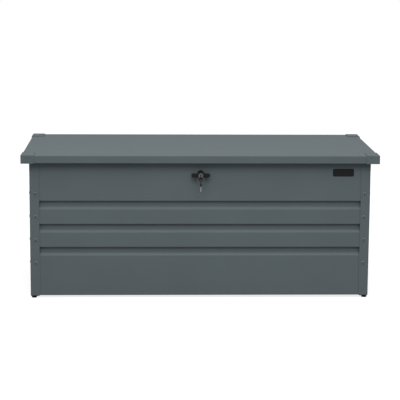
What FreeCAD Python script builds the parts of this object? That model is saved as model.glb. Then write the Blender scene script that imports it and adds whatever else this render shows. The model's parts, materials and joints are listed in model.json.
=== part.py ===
import FreeCAD, Part
import math
import os

from FreeCAD import Vector

# Garden storage chest of folded and painted steel sheet, in millimetres.
# X runs along the front, +X to the right; the front looks towards -Y; +Z is up.
# The origin lies on the ground under the middle of the lid.

# Lid, over the sheet and without its corner caps
lid_width = 1594.0
lid_depth = 734.0
lid_height = 34.0
lid_top = 655.0
lid_edge_radius = 4.0
lid_hem = 8.0

# Body inside the lid's edge
overhang = 32.0
rear_overhang = 12.0
ground_gap = 12.0

# Sheet thicknesses, bends and small clearances
sheet = 0.8
post_sheet = 1.0
bracket_sheet = 2.0
bend = 1.2
bracket_bend = 2.0
seam_gap = 0.2
touch_gap = 0.3

# How far a cutting block runs past a face, and how near a face an edge counts as on it
overrun = 1.0
pick = 0.1

# Least run and greatest drift of an edge that counts as lying along an axis
edge_run = 1e-3
edge_drift = 1e-6

# Corner posts and the screws through them
post_width = 43.0
post_radius = 5.0
post_top_gap = 2.0
corner_clear = 1.8
screw_inset = 26.0
screw_head_radius = 6.5
screw_head_height = 3.3
screw_neck = 5.0
screw_grip = 7.0
screw_hole_gap = 0.15

# Form of every screw's dome: shoulder and crown as shares of the radius, rise as one of the height
dome_shoulder = 0.9
dome_crown = 0.5
dome_rise = 0.4

# Pressed grooves round the walls, first one measured down from the lid's lower edge
groove_count = 3
groove_drop = 176.0
groove_pitch = 105.5
groove_height = 38.0
groove_depth = 12.0
groove_slope = 11.0
wall_foot = 20.0

# Rails inside the top of the walls, and the seal on them
rail_width = 16.0
rail_height = 25.0
rail_lip = 12.0
rail_sheet = 1.0
seal_width = 9.0
seal_height = 6.0
seal_round = 2.7

# Floor in two ribbed sheets with a joining strip
floor_upstand = 15.0
rib_count = 4
rib_width = 30.0
rib_height = 4.0
joiner_width = 56.0
joiner_crown = 28.0

# Feet
foot_plate = 38.0
foot_plate_height = 3.0
foot_pad_radius = 11.5
foot_pad_setback = 4.0
foot_plug = 11.0
foot_plug_height = 24.0
foot_chamfer = 3.0

# Corner caps of the lid
cap_wall = 3.0
cap_lip = 2.5
cap_width = 59.0
cap_depth = 90.0
cap_radius = 5.0

# Stiffeners under the lid, the outer ones measured in from its ends
stiffener_depth = 14.0
stiffener_crown = 32.0
stiffener_flange = 16.0
stiffener_inset = 317.0
stiffener_front_gap = 97.0
stiffener_rear_gap = 49.0

# Hinges at the back, the outer ones measured in from the lid's ends
hinge_inset = 237.0
hinge_width = 64.0
hinge_pin_radius = 2.0
hinge_barrel_radius = 4.0
hinge_pin_gap = 0.05
hinge_pin_head = 1.5
hinge_pin_lip = 1.0
hinge_drop = 5.0
hinge_lid_leaf = 28.0
hinge_body_leaf = 40.0
hinge_crank = 18.0
hinge_crank_gap = 2.0
hinge_leaf_round = 4.0
hinge_screw_radius = 3.5
hinge_screw_height = 1.8
hinge_screw_neck = 3.4

# Gas struts, one at each side; the pivots are given from the hinge axis
lid_open_angle = 75.0
strut_inset = 37.0
strut_foot_y = 52.5
strut_foot_z = 70.8
strut_head_y = 223.8
strut_head_z = 11.4
strut_rod_radius = 4.0
strut_tube_radius = 9.0
strut_running_gap = 0.06
strut_eye_radius = 9.0
strut_eye_width = 8.0
strut_pin_radius = 4.0
strut_pin_head = 2.0
strut_pin_lip = 2.0
strut_neck_lip = 2.0
strut_neck_length = 8.0
strut_tube_start = 30.0
strut_tube_end_gap = 12.0
strut_tube_cap = 4.0
strut_tube_chamfer = 1.5
strut_rod_gap = 9.0
strut_plate_gap = 7.0
strut_bracket_width = 32.0
strut_bracket_flange = 13.0

# Lock in the middle of the front, measured down from the lid's lower edge
lock_drop = 56.0
lock_plate_width = 30.0
lock_plate_height = 40.0
lock_plate_depth = 5.0
lock_plate_chamfer = 1.5
lock_barrel_radius = 11.0
lock_barrel_length = 16.0
lock_nut_size = 30.0
lock_nut_depth = 6.0
hub_radius = 14.5
hub_depth = 27.0
hub_rim = 2.5
hub_waist = 1.5
hub_flare = 6.0
hub_web = 1.5
grip_span = 84.0
grip_root = 23.0
grip_tip = 18.0
grip_depth = 13.0
grip_setback = 5.0
grip_chamfer = 2.5
spindle_radius = 6.0
spindle_square = 8.0
spindle_gap = 0.06
spindle_shoulder = 0.5
plug_radius = 10.0
plug_length = 23.0
plug_proud = 1.0
plug_chamfer = 0.6
cam_length = 45.0
cam_width = 18.0
cam_tip_width = 10.8
cam_sheet = 2.5
cam_setback = 23.5
cam_hole_gap = 0.1
cam_washer_radius = 6.4
cam_washer_depth = 1.0
cam_screw_width = 8.0
cam_screw_depth = 3.0
catch_width = 44.0
catch_offset = 14.0
catch_flange = 24.0
catch_tab = 9.0
catch_gap = 4.5
catch_play = 1.5

# Keys and their ring
key_head_width = 18.0
key_head_length = 18.0
key_head_sheet = 2.4
key_head_taper = 4.0
key_shoulder = 1.0
key_hole_radius = 3.5
key_hole_inset = 6.0
key_neck = 2.0
key_blade_width = 8.0
key_blade_sheet = 2.0
key_blade_length = 26.0
key_slot_gap = 0.2
key_slot_end = 2.0
key_tip = 3.0
key_tip_gap = 2.0
key_cuts = 5
key_cut_start = 1.0
key_deep_cut = 2.0
key_shallow_cut = 1.2
ring_radius = 15.0
ring_wire_radius = 0.7
ring_seat_gap = 0.8

# Planes worked out from the sizes above
lid_bottom = lid_top - lid_height
lid_under = lid_top - sheet
post_x = lid_width / 2 - overhang
stiffener_x = lid_width / 2 - stiffener_inset
hinge_x = lid_width / 2 - hinge_inset
front_y = -lid_depth / 2 + overhang
rear_y = lid_depth / 2 - rear_overhang
panel_x = post_x - post_sheet - seam_gap
panel_front = front_y + post_sheet + seam_gap
panel_rear = rear_y - post_sheet - seam_gap
inner_x = panel_x - sheet
inner_front = panel_front + sheet
inner_rear = panel_rear - sheet
wall_top = lid_under - touch_gap - seal_height
corner_hollow = post_sheet + seam_gap + groove_depth + corner_clear
groove_top = lid_bottom - groove_drop
lock_z = lid_bottom - lock_drop
floor_z = ground_gap + sheet


def folded_outline(points, radius, thickness, at):
    """Face of a folded sheet.

    points lie on one face of the sheet, as pairs in the section's plane, and the sheet's
    thickness is laid to the left of their direction. Each corner is bent round with the same
    inner radius. at turns a pair into a point in space.
    """

    def left(a, b):
        length = math.hypot(b[0] - a[0], b[1] - a[1])
        return (-(b[1] - a[1]) / length, (b[0] - a[0]) / length)

    normals = [left(a, b) for a, b in zip(points, points[1:])]

    def side(offset):
        """Straight and round edges of the sheet's face that lies offset to the left."""
        corners = [(points[0][0] + normals[0][0] * offset, points[0][1] + normals[0][1] * offset)]
        for point, n, m in zip(points[1:], normals, normals[1:]):
            scale = offset / (1 + n[0] * m[0] + n[1] * m[1])
            corners.append((point[0] + (n[0] + m[0]) * scale, point[1] + (n[1] + m[1]) * scale))
        last = normals[-1]
        corners.append((points[-1][0] + last[0] * offset, points[-1][1] + last[1] * offset))
        edges = []
        start = corners[0]
        for corner, n, m in zip(corners[1:], normals, normals[1:]):
            turn = math.atan2(n[0] * m[1] - n[1] * m[0], n[0] * m[0] + n[1] * m[1])
            bend_left = 1 if turn > 0 else -1
            r = radius + thickness - offset if turn > 0 else radius + offset
            run = r * math.tan(abs(turn) / 2)
            enter = (corner[0] - n[1] * run, corner[1] + n[0] * run)
            leave = (corner[0] + m[1] * run, corner[1] - m[0] * run)
            centre = (enter[0] + n[0] * r * bend_left, enter[1] + n[1] * r * bend_left)
            reach = math.hypot(corner[0] - centre[0], corner[1] - centre[1])
            middle = (
                centre[0] + (corner[0] - centre[0]) * r / reach,
                centre[1] + (corner[1] - centre[1]) * r / reach,
            )
            edges.append(Part.makeLine(at(*start), at(*enter)))
            edges.append(Part.Arc(at(*enter), at(*middle), at(*leave)).toShape())
            start = leave
        edges.append(Part.makeLine(at(*start), at(*corners[-1])))
        return edges, corners[0], corners[-1]

    near, near_start, near_end = side(0)
    far, far_start, far_end = side(thickness)
    ends = [Part.makeLine(at(*near_end), at(*far_end)), Part.makeLine(at(*near_start), at(*far_start))]
    return Part.Face(Part.Wire(Part.__sortEdges__(near + far + ends)))


def outline_face(points, at):
    """Face inside a closed line of straight edges."""
    corners = [at(*p) for p in points]
    return Part.Face(Part.makePolygon(corners + corners[:1]))


def box(low, high):
    """Block between two opposite corners."""
    size = [b - a for a, b in zip(low, high)]
    return Part.makeBox(size[0], size[1], size[2], Vector(*low))


def rod(start, direction, radius, length):
    """Round bar from start along direction."""
    return Part.makeCylinder(radius, length, Vector(*start), Vector(*direction))


def across(shape):
    """The same shape on the other side of the chest."""
    return shape.mirror(Vector(0, 0, 0), Vector(1, 0, 0))


def round_edges(shape, radius, chosen):
    """Shape with a fillet on each edge that chosen accepts."""
    return shape.makeFillet(radius, [edge for edge in shape.Edges if chosen(edge)])


def along(edge, axis):
    """Whether a straight edge runs along one axis."""
    ends = edge.BoundBox
    spans = {"x": ends.XLength, "y": ends.YLength, "z": ends.ZLength}
    return spans.pop(axis) > edge_run and max(spans.values()) < edge_drift


def clean(shape):
    """The single solid in a shape, with its split faces joined."""
    return shape.removeSplitter().Solids[0]


def groove_levels():
    """Upper edge of each pressed groove, from the top down."""
    return [groove_top - n * groove_pitch for n in range(groove_count)]


def screw_levels():
    """Heights of the corner screws: in the middle of the flat bands beside the grooves."""
    first = groove_top + (groove_pitch - groove_height) / 2
    return [first - n * groove_pitch for n in range(groove_count + 1)]


def wall_section(at):
    """Section of a wall, as depth behind its face and height: foot flange, grooves, top edge."""
    points = [(wall_foot, ground_gap), (0, ground_gap)]
    for top in reversed(groove_levels()):
        low = top - groove_height
        points += [(0, low), (groove_depth, low + groove_slope), (groove_depth, top), (0, top)]
    points.append((0, wall_top))
    # The line runs downwards, so the sheet on its left lies behind the wall's face.
    return folded_outline(points[::-1], bend, sheet, at)


def screw_places():
    """Place and inward direction of each corner screw's seat, on the posts' faces."""
    places = []
    for side in (-1, 1):
        for face, inward in ((front_y, 1), (rear_y, -1)):
            for z in screw_levels():
                places.append(((side * (post_x - screw_inset), face, z), (0, inward, 0)))
                places.append(((side * post_x, face + inward * screw_inset, z), (-side, 0, 0)))
    return places


def square_bar(start, direction, width, length):
    """Square bar from start along one of the main directions."""
    reach = [abs(d) for d in direction]
    low = [p - (1 - r) * width / 2 + min(0, d) * length for p, r, d in zip(start, reach, direction)]
    high = [p + (1 - r) * width / 2 + max(0, d) * length for p, r, d in zip(start, reach, direction)]
    return box(low, high)


def screw_holes():
    """Bars that cut the square holes of the corner screws."""
    bars = []
    for place, inward in screw_places():
        start = [p - overrun * d for p, d in zip(place, inward)]
        bars.append(square_bar(start, inward, screw_neck + 2 * screw_hole_gap, screw_grip + overrun))
    return bars


def dome_screw(place, inward, radius, height, neck, grip):
    """Screw with a low head, chamfered to a dome, and a square neck through the sheets."""
    outward = [-d for d in inward]
    rise = height * dome_rise
    shoulder = radius * dome_shoulder
    base = Part.makeCone(radius, shoulder, rise, Vector(*place), Vector(*outward))
    seat = Vector(*[p + d * rise for p, d in zip(place, outward)])
    crown = Part.makeCone(shoulder, radius * dome_crown, height - rise, seat, Vector(*outward))
    return clean(base.fuse([crown, square_bar(place, inward, neck, grip)]))


def near_holes(shape, bars):
    """Shape with only the holes cut that meet it."""
    bounds = shape.BoundBox
    return shape.cut([bar for bar in bars if bounds.intersect(bar.BoundBox)])


def front_panel():
    """Front wall with three grooves, its foot flange and the hole for the lock."""
    half = post_x - corner_hollow
    face = wall_section(lambda d, z: Vector(-half, panel_front + d, z))
    wall = face.extrude(Vector(2 * half, 0, 0))
    start = (0, panel_front - overrun, lock_z)
    hole = rod(start, (0, 1, 0), lock_barrel_radius + seam_gap, sheet + 2 * overrun)
    return near_holes(wall.cut([hole] + foot_reliefs()), screw_holes())


def rear_panel():
    """Rear wall with the same section as the front."""
    half = post_x - corner_hollow
    face = wall_section(lambda d, z: Vector(-half, panel_rear - d, z))
    wall = face.extrude(Vector(2 * half, 0, 0))
    return near_holes(wall.cut(foot_reliefs()), screw_holes())


def foot_reliefs():
    """Blocks that notch the foot flanges of front and rear where the side flanges pass."""
    blocks = []
    low, high = ground_gap - overrun, ground_gap + sheet + bend + overrun
    inside = post_x - post_sheet - seam_gap - wall_foot - seam_gap
    for side in (-1, 1):
        near, far = sorted((side * inside, side * post_x))
        blocks.append(box((near, inner_front + bend, low), (far, inner_rear - bend, high)))
    return blocks


def side_panel():
    """Right wall; the left one is its mirror image."""
    low_y, high_y = front_y + corner_hollow, rear_y - corner_hollow
    face = wall_section(lambda d, z: Vector(panel_x - d, low_y, z))
    return near_holes(face.extrude(Vector(0, high_y - low_y, 0)), screw_holes())


def corner_post(front):
    """Right front or right rear post: an angle with a round corner, outside the walls."""
    face_y, inward = (front_y, 1) if front else (rear_y, -1)
    low, high = ground_gap, wall_top - post_top_gap
    points = [(post_width, 0), (0, 0), (0, post_width)]

    def at(u, v):
        return Vector(post_x - u, face_y + inward * v, low)

    face = folded_outline(points[::-1], post_radius - post_sheet, post_sheet, at)
    return near_holes(face.extrude(Vector(0, 0, high - low)), screw_holes())


def corner_screws():
    """Dome-headed screws that hold walls and posts together."""
    head = (screw_head_radius, screw_head_height, screw_neck, screw_grip)
    return Part.makeCompound([dome_screw(place, inward, *head) for place, inward in screw_places()])


def rail_section(at):
    """Section of a rim rail, as depth behind the wall and height: a channel open downwards."""
    points = [
        (0, wall_top - rail_height),
        (0, wall_top),
        (rail_width, wall_top),
        (rail_width, wall_top - rail_lip),
    ]
    return folded_outline(points[::-1], bend, rail_sheet, at)


def cross_rail(front):
    """Front or rear rim rail, between the side rails."""
    half = inner_x - rail_width - seam_gap
    wall, inward = (inner_front, 1) if front else (inner_rear, -1)
    face = rail_section(lambda d, z: Vector(-half, wall + inward * d, z))
    return face.extrude(Vector(2 * half, 0, 0))


def side_rail():
    """Right rim rail, along the whole side."""
    low_y, high_y = inner_front + bend, inner_rear - bend
    face = rail_section(lambda d, z: Vector(inner_x - d, low_y, z))
    return face.extrude(Vector(0, high_y - low_y, 0))


def rim_seal():
    """Four rubber strips on the rails that the lid closes on."""
    low, high = wall_top, wall_top + seal_height
    near = (rail_width - seal_width) / 2
    far = (rail_width + seal_width) / 2
    end = inner_x - near
    strips = []

    def strip(low_corner, high_corner, axis):
        block = box(low_corner, high_corner)
        return round_edges(block, seal_round, lambda e: along(e, axis) and e.BoundBox.ZMin > high - pick)

    for wall, inward in ((inner_front, 1), (inner_rear, -1)):
        low_y, high_y = sorted((wall + inward * near, wall + inward * far))
        strips.append(strip((-end, low_y, low), (end, high_y, high), "x"))
    for side in (-1, 1):
        low_x, high_x = sorted((side * (inner_x - far), side * end))
        low_y, high_y = inner_front + far + seam_gap, inner_rear - far - seam_gap
        strips.append(strip((low_x, low_y, low), (high_x, high_y, high), "y"))
    return Part.makeCompound(strips)


def floor_half():
    """Right half of the floor: ribs across it and an upstand at the side wall."""
    outer = inner_x - touch_gap
    points = [(outer, floor_z + floor_upstand), (outer, floor_z)]
    room = outer - seam_gap
    slope = rib_height
    for n in range(rib_count):
        middle = outer - room * (n + 0.5) / rib_count
        points.append((middle + rib_width / 2 + slope, floor_z))
        points.append((middle + rib_width / 2, floor_z + rib_height))
        points.append((middle - rib_width / 2, floor_z + rib_height))
        points.append((middle - rib_width / 2 - slope, floor_z))
    points.append((seam_gap, floor_z))
    low_y, high_y = inner_front + bend + touch_gap, inner_rear - bend - touch_gap
    face = folded_outline(points[::-1], bend, sheet, lambda x, z: Vector(x, low_y, z))
    tray = face.extrude(Vector(0, high_y - low_y, 0))
    notch = corner_hollow + touch_gap
    top = floor_z + floor_upstand + overrun
    front = box((post_x - notch, front_y, ground_gap), (post_x, front_y + notch, top))
    rear = box((post_x - notch, rear_y - notch, ground_gap), (post_x, rear_y, top))
    return tray.cut([front, rear])


def floor_joiner():
    """Raised strip that covers and joins the floor's middle seam."""
    base = floor_z + sheet
    crown = joiner_crown / 2
    half = joiner_width / 2
    slope = rib_height
    points = [
        (-half, base),
        (-crown - slope, base),
        (-crown, base + rib_height),
        (crown, base + rib_height),
        (crown + slope, base),
        (half, base),
    ]
    low_y, high_y = inner_front + bend + touch_gap, inner_rear - bend - touch_gap
    face = folded_outline(points, bend, sheet, lambda x, z: Vector(x, low_y, z))
    return face.extrude(Vector(0, high_y - low_y, 0))


def foot(front):
    """Plastic foot under the right front or right rear corner, plugged into the post."""
    face_y, inward = (front_y, 1) if front else (rear_y, -1)
    plate_low = ground_gap - foot_plate_height
    near, far = sorted((face_y + inward * post_sheet, face_y + inward * (post_sheet + foot_plate)))
    plate = box((post_x - post_sheet - foot_plate, near, plate_low), (post_x - post_sheet, far, ground_gap))
    plate = plate.makeChamfer(foot_chamfer, [e for e in plate.Edges if along(e, "z")])
    pad_inset = foot_pad_radius + foot_pad_setback
    pad = rod((post_x - pad_inset, face_y + inward * pad_inset, 0), (0, 0, 1), foot_pad_radius, plate_low)
    plug_x = post_x - post_sheet - touch_gap
    plug_y = face_y + inward * (post_sheet + touch_gap)
    near, far = sorted((plug_y, plug_y + inward * foot_plug))
    plug = box((plug_x - foot_plug, near, ground_gap), (plug_x, far, ground_gap + foot_plug_height))
    plug = plug.makeChamfer(post_radius - post_sheet, [e for e in plug.Edges if along(e, "z")])
    return clean(plate.fuse([pad, plug]))


def lid_block(grow, low, high):
    """Block over the lid's outline, grown by grow all round, between two heights."""
    half_x, half_y = lid_width / 2 + grow, lid_depth / 2 + grow
    return box((-half_x, -half_y, low), (half_x, half_y, high))


def lid_panel():
    """Lid sheet: a shallow pan with round edges and a hem turned in round its mouth."""
    outer = lid_block(0, lid_bottom, lid_top)
    outer = round_edges(outer, lid_edge_radius, lambda e: along(e, "z") or e.BoundBox.ZMin > lid_top - pick)
    hollow = lid_block(-sheet, lid_bottom + sheet, lid_under)
    inner_radius = lid_edge_radius - sheet
    hollow = round_edges(hollow, inner_radius, lambda e: along(e, "z") or e.BoundBox.ZMin > lid_under - pick)
    mouth = lid_block(-sheet - lid_hem, lid_bottom - overrun, lid_bottom + sheet + overrun)
    return outer.cut([hollow, mouth])


def corner_cap(front):
    """Moulded cap over the lid's right front or right rear corner."""
    outer_x = lid_width / 2 + cap_wall
    outer_y = lid_depth / 2 + cap_wall
    low, high = lid_bottom - cap_lip, lid_top + cap_wall
    block = box((outer_x - cap_width, outer_y - cap_depth, low), (outer_x, outer_y, high))

    def outside(edge):
        b = edge.BoundBox
        corner = along(edge, "z") and b.XMin > outer_x - pick and b.YMin > outer_y - pick
        top = b.ZMin > high - pick and (b.XMin > outer_x - pick or b.YMin > outer_y - pick)
        return corner or top

    def inside(edge):
        b = edge.BoundBox
        left = b.XMax < outer_x - cap_width + pick
        return along(edge, "z") and left and b.YMax < outer_y - cap_depth + pick

    block = round_edges(block, cap_radius, outside)
    block = round_edges(block, cap_radius, inside)
    room = lid_block(0, lid_bottom, lid_top)
    room = round_edges(room, lid_edge_radius, lambda e: along(e, "z") or e.BoundBox.ZMin > lid_top - pick)
    mouth = lid_block(-sheet - lid_hem, low - overrun, lid_bottom + overrun)
    cap = clean(block.cut([room, mouth]))
    return cap.mirror(Vector(0, 0, 0), Vector(0, 1, 0)) if front else cap


def stiffener(x):
    """Hat section under the lid, from front to rear."""
    half_crown = stiffener_crown / 2
    half = half_crown + stiffener_flange
    points = [
        (-half, lid_under),
        (-half_crown, lid_under),
        (-half_crown, lid_under - stiffener_depth),
        (half_crown, lid_under - stiffener_depth),
        (half_crown, lid_under),
        (half, lid_under),
    ]
    low_y = -lid_depth / 2 + stiffener_front_gap
    high_y = lid_depth / 2 - stiffener_rear_gap
    # The line runs from right to left, so the sheet lies under it and outside the hat's webs.
    face = folded_outline(points[::-1], bend, sheet, lambda u, z: Vector(x + u, low_y, z))
    return face.extrude(Vector(0, high_y - low_y, 0))


def hinge_axis():
    """Depth and height of the hinge pins: just behind and below the lid's rear edge."""
    return lid_depth / 2 + hinge_barrel_radius - seam_gap - touch_gap, lid_bottom - hinge_drop


def hinge_spans():
    """Widths of the hinge's three knuckles along its pin: outer pair and middle."""
    third = hinge_width / 3
    outer = [(-hinge_width / 2, -third / 2 - touch_gap / 2), (third / 2 + touch_gap / 2, hinge_width / 2)]
    middle = [(-third / 2 + touch_gap / 2, third / 2 - touch_gap / 2)]
    return outer, middle


def knuckles(x, spans):
    """Barrels round the pin, and the bar that bores them."""
    y, z = hinge_axis()
    barrels = [rod((x + low, y, z), (1, 0, 0), hinge_barrel_radius, high - low) for low, high in spans]
    bore = rod((x - hinge_width, y, z), (1, 0, 0), hinge_pin_radius + hinge_pin_gap, 2 * hinge_width)
    return barrels, bore


def hinge_lid_side(x):
    """Hinge leaf on the outside of the lid's rear edge."""
    y, z = hinge_axis()
    plate_y = lid_depth / 2
    top = z + hinge_drop + hinge_lid_leaf
    plate = box(
        (x - hinge_width / 2, plate_y, z + hinge_barrel_radius + touch_gap),
        (x + hinge_width / 2, plate_y + bracket_sheet, top),
    )
    plate = round_edges(plate, hinge_leaf_round, lambda e: along(e, "y") and e.BoundBox.ZMin > top - pick)
    (low, high), = hinge_spans()[1]
    web = box((x + low, plate_y, z), (x + high, plate_y + bracket_sheet, z + hinge_barrel_radius + overrun))
    barrels, bore = knuckles(x, hinge_spans()[1])
    return clean(plate.fuse([web] + barrels).cut([bore] + hinge_screw_bars(x, True)))


def hinge_body_side(x):
    """Cranked hinge leaf on the outside of the rear wall."""
    y, z = hinge_axis()
    knee = z - hinge_crank
    points = [
        (panel_rear, knee - hinge_body_leaf),
        (panel_rear, knee),
        (y - bracket_sheet / 2, z - hinge_barrel_radius - hinge_crank_gap),
        (y - bracket_sheet / 2, z),
    ]
    start = x - hinge_width / 2
    face = folded_outline(points[::-1], bracket_bend, bracket_sheet, lambda v, w: Vector(start, v, w))
    leaf = face.extrude(Vector(hinge_width, 0, 0))
    foot_z = knee - hinge_body_leaf
    leaf = round_edges(leaf, hinge_leaf_round, lambda e: along(e, "y") and e.BoundBox.ZMax < foot_z + pick)
    (low, high), = hinge_spans()[1]
    room_start = (x + low - touch_gap, y, z)
    room = rod(room_start, (1, 0, 0), hinge_barrel_radius + touch_gap, high - low + 2 * touch_gap)
    barrels, bore = knuckles(x, hinge_spans()[0])
    return clean(leaf.cut(room).fuse(barrels).cut([bore] + hinge_screw_bars(x, False)))


def hinge_pins():
    """The three hinge pins, each with a head at both ends."""
    y, z = hinge_axis()
    pins = []
    for x in (-hinge_x, 0, hinge_x):
        start = x - hinge_width / 2
        pin = rod((start, y, z), (1, 0, 0), hinge_pin_radius, hinge_width)
        heads = [
            rod((start - hinge_pin_head, y, z), (1, 0, 0), hinge_pin_radius + hinge_pin_lip, hinge_pin_head),
            rod((start + hinge_width, y, z), (1, 0, 0), hinge_pin_radius + hinge_pin_lip, hinge_pin_head),
        ]
        pins.append(clean(pin.fuse(heads)))
    return Part.makeCompound(pins)


def hinge_screw_seats(x, on_lid):
    """Points on a hinge leaf's outer face where its two screws sit."""
    y, z = hinge_axis()
    if on_lid:
        height = z + hinge_drop + hinge_lid_leaf / 2
        face = lid_depth / 2 + bracket_sheet
    else:
        height = z - hinge_crank - hinge_body_leaf / 2
        face = panel_rear + bracket_sheet
    return [(x - hinge_width / 3, face, height), (x + hinge_width / 3, face, height)]


def hinge_screw_bars(x, on_lid):
    """Bars that cut a leaf's two square screw holes."""
    width = hinge_screw_neck + 2 * screw_hole_gap
    bars = []
    for seat in hinge_screw_seats(x, on_lid):
        start = (seat[0], seat[1] + overrun, seat[2])
        bars.append(square_bar(start, (0, -1, 0), width, bracket_sheet + 2 * overrun))
    return bars


def hinge_screws(on_lid):
    """Screws that hold the hinge leaves, down to the leaf's back."""
    head = (hinge_screw_radius, hinge_screw_height, hinge_screw_neck, bracket_sheet)
    screws = []
    for x in (-hinge_x, 0, hinge_x):
        screws += [dome_screw(seat, (0, -1, 0), *head) for seat in hinge_screw_seats(x, on_lid)]
    return Part.makeCompound(screws)


def strut_pivots():
    """Lower and upper pivot of the strut as (y, z), the lid closed."""
    y, z = hinge_axis()
    return (y - strut_foot_y, z - strut_foot_z), (y - strut_head_y, z + strut_head_z)


def strut_line():
    """Unit direction of the closed strut from its lower pivot, and its length."""
    (y0, z0), (y1, z1) = strut_pivots()
    length = math.hypot(y1 - y0, z1 - z0)
    return (0, (y1 - y0) / length, (z1 - z0) / length), length


def strut_motion():
    """Turn and stroke of the strut over the lid's whole travel."""
    hy, hz = hinge_axis()
    (y0, z0), (y1, z1) = strut_pivots()
    angle = math.radians(lid_open_angle)
    dy, dz = y1 - hy, z1 - hz
    open_y = hy + dy * math.cos(angle) + dz * math.sin(angle)
    open_z = hz - dy * math.sin(angle) + dz * math.cos(angle)
    turn = math.atan2(z1 - z0, y1 - y0) - math.atan2(open_z - z0, open_y - y0)
    stroke = math.hypot(open_y - y0, open_z - z0) - math.hypot(y1 - y0, z1 - z0)
    return math.degrees(turn), stroke


def strut_x():
    """Plane in which the right strut works."""
    return post_x - strut_inset


def strut_point(distance, x):
    """Point on the closed strut at a distance from its lower pivot."""
    (y0, z0), _ = strut_pivots()
    (_, dy, dz), _ = strut_line()
    return (x, y0 + dy * distance, z0 + dz * distance)


def strut_eye(distance):
    """Eye of a strut end round its pivot."""
    start = strut_point(distance, strut_x() - strut_eye_width / 2)
    return rod(start, (1, 0, 0), strut_eye_radius, strut_eye_width)


def strut_rod():
    """Piston rod of the right strut with its eye, which turns on the body's pin."""
    direction, length = strut_line()
    reach = length - strut_tube_end_gap - strut_tube_cap - strut_rod_gap
    bar = rod(strut_point(0, strut_x()), direction, strut_rod_radius, reach)
    neck_start = strut_point(strut_eye_radius - overrun, strut_x())
    neck = rod(neck_start, direction, strut_rod_radius + strut_neck_lip, strut_neck_length + overrun)
    bore = rod(
        strut_point(0, strut_x() - strut_eye_width),
        (1, 0, 0),
        strut_pin_radius + strut_running_gap,
        2 * strut_eye_width,
    )
    return clean(strut_eye(0).fuse([neck, bar]).cut(bore))


def strut_cylinder():
    """Cylinder of the right strut with its eye and the pin that it carries."""
    direction, length = strut_line()
    tube_end = length - strut_tube_end_gap
    tube_start = strut_point(strut_tube_start, strut_x())
    tube = rod(tube_start, direction, strut_tube_radius, tube_end - strut_tube_start)
    ends = [e for e in tube.Edges if e.Curve.TypeId == "Part::GeomCircle"]
    tube = tube.makeChamfer(strut_tube_chamfer, ends)
    neck_length = strut_tube_end_gap - strut_eye_radius + overrun
    neck = rod(strut_point(tube_end, strut_x()), direction, strut_rod_radius + strut_neck_lip, neck_length)
    plate_x = post_x - strut_plate_inset()
    pin_start = strut_x() - strut_eye_width / 2 - strut_pin_head
    pin = rod(strut_point(length, pin_start), (1, 0, 0), strut_pin_radius, plate_x - touch_gap - pin_start)
    head = rod(strut_point(length, pin_start), (1, 0, 0), strut_pin_radius + strut_pin_lip, strut_pin_head)
    bore = rod(
        strut_point(strut_tube_start - overrun, strut_x()),
        direction,
        strut_rod_radius + strut_running_gap,
        tube_end - strut_tube_cap - strut_tube_start + overrun,
    )
    return clean(tube.cut(bore).fuse([neck, strut_eye(length), pin, head]))


def strut_plate_inset():
    """Distance of the strut brackets' inner faces from the posts' outer faces."""
    return strut_inset - strut_eye_width / 2 - strut_plate_gap


def strut_foot_bracket():
    """Hat bracket on the right wall that carries the strut's lower pin."""
    (y0, z0), _ = strut_pivots()
    plate_x = post_x - strut_plate_inset()
    half = strut_bracket_width / 2
    outer = half + strut_bracket_flange
    points = [
        (-outer, inner_x),
        (-half, inner_x),
        (-half, plate_x),
        (half, plate_x),
        (half, inner_x),
        (outer, inner_x),
    ]
    low = z0 - half
    face = folded_outline(points[::-1], bracket_bend, bracket_sheet, lambda v, u: Vector(u, y0 + v, low))
    hat = face.extrude(Vector(0, 0, strut_bracket_width))
    eye_near = strut_x() + strut_eye_width / 2 + touch_gap
    eye_far = strut_x() - strut_eye_width / 2 - touch_gap
    collar = rod((eye_near, y0, z0), (1, 0, 0), strut_pin_radius + strut_pin_lip, plate_x - eye_near)
    pin = rod((eye_far, y0, z0), (1, 0, 0), strut_pin_radius, plate_x - eye_far)
    head_start = (eye_far - strut_pin_head, y0, z0)
    head = rod(head_start, (1, 0, 0), strut_pin_radius + strut_pin_lip, strut_pin_head)
    return clean(hat.fuse([collar, pin, head]))


def strut_head_bracket():
    """Angle under the lid that the right strut's upper pin ends at."""
    _, (y1, z1) = strut_pivots()
    plate_x = post_x - strut_plate_inset()
    half = strut_bracket_width / 2
    flange = half + strut_bracket_flange
    back_x = plate_x + bracket_sheet
    points = [(plate_x - flange, lid_under), (back_x, lid_under), (back_x, z1)]
    face = folded_outline(points[::-1], bracket_bend, bracket_sheet, lambda u, w: Vector(u, y1 - half, w))
    angle = face.extrude(Vector(0, strut_bracket_width, 0))
    ear = rod((plate_x, y1, z1), (1, 0, 0), half, bracket_sheet)
    below = box((plate_x - overrun, y1 - half, z1 - half), (back_x + overrun, y1 + half, z1))
    return clean(angle.fuse(ear.common(below)))


def stadium(width, height, at, depth):
    """Upright oval plate: half circles above and below straight sides."""
    r = width / 2
    c = height / 2 - r
    edges = [
        Part.makeLine(at(-r, -c), at(-r, c)),
        Part.Arc(at(-r, c), at(0, c + r), at(r, c)).toShape(),
        Part.makeLine(at(r, c), at(r, -c)),
        Part.Arc(at(r, -c), at(0, -c - r), at(-r, -c)).toShape(),
    ]
    return Part.Face(Part.Wire(edges)).extrude(depth)


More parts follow.
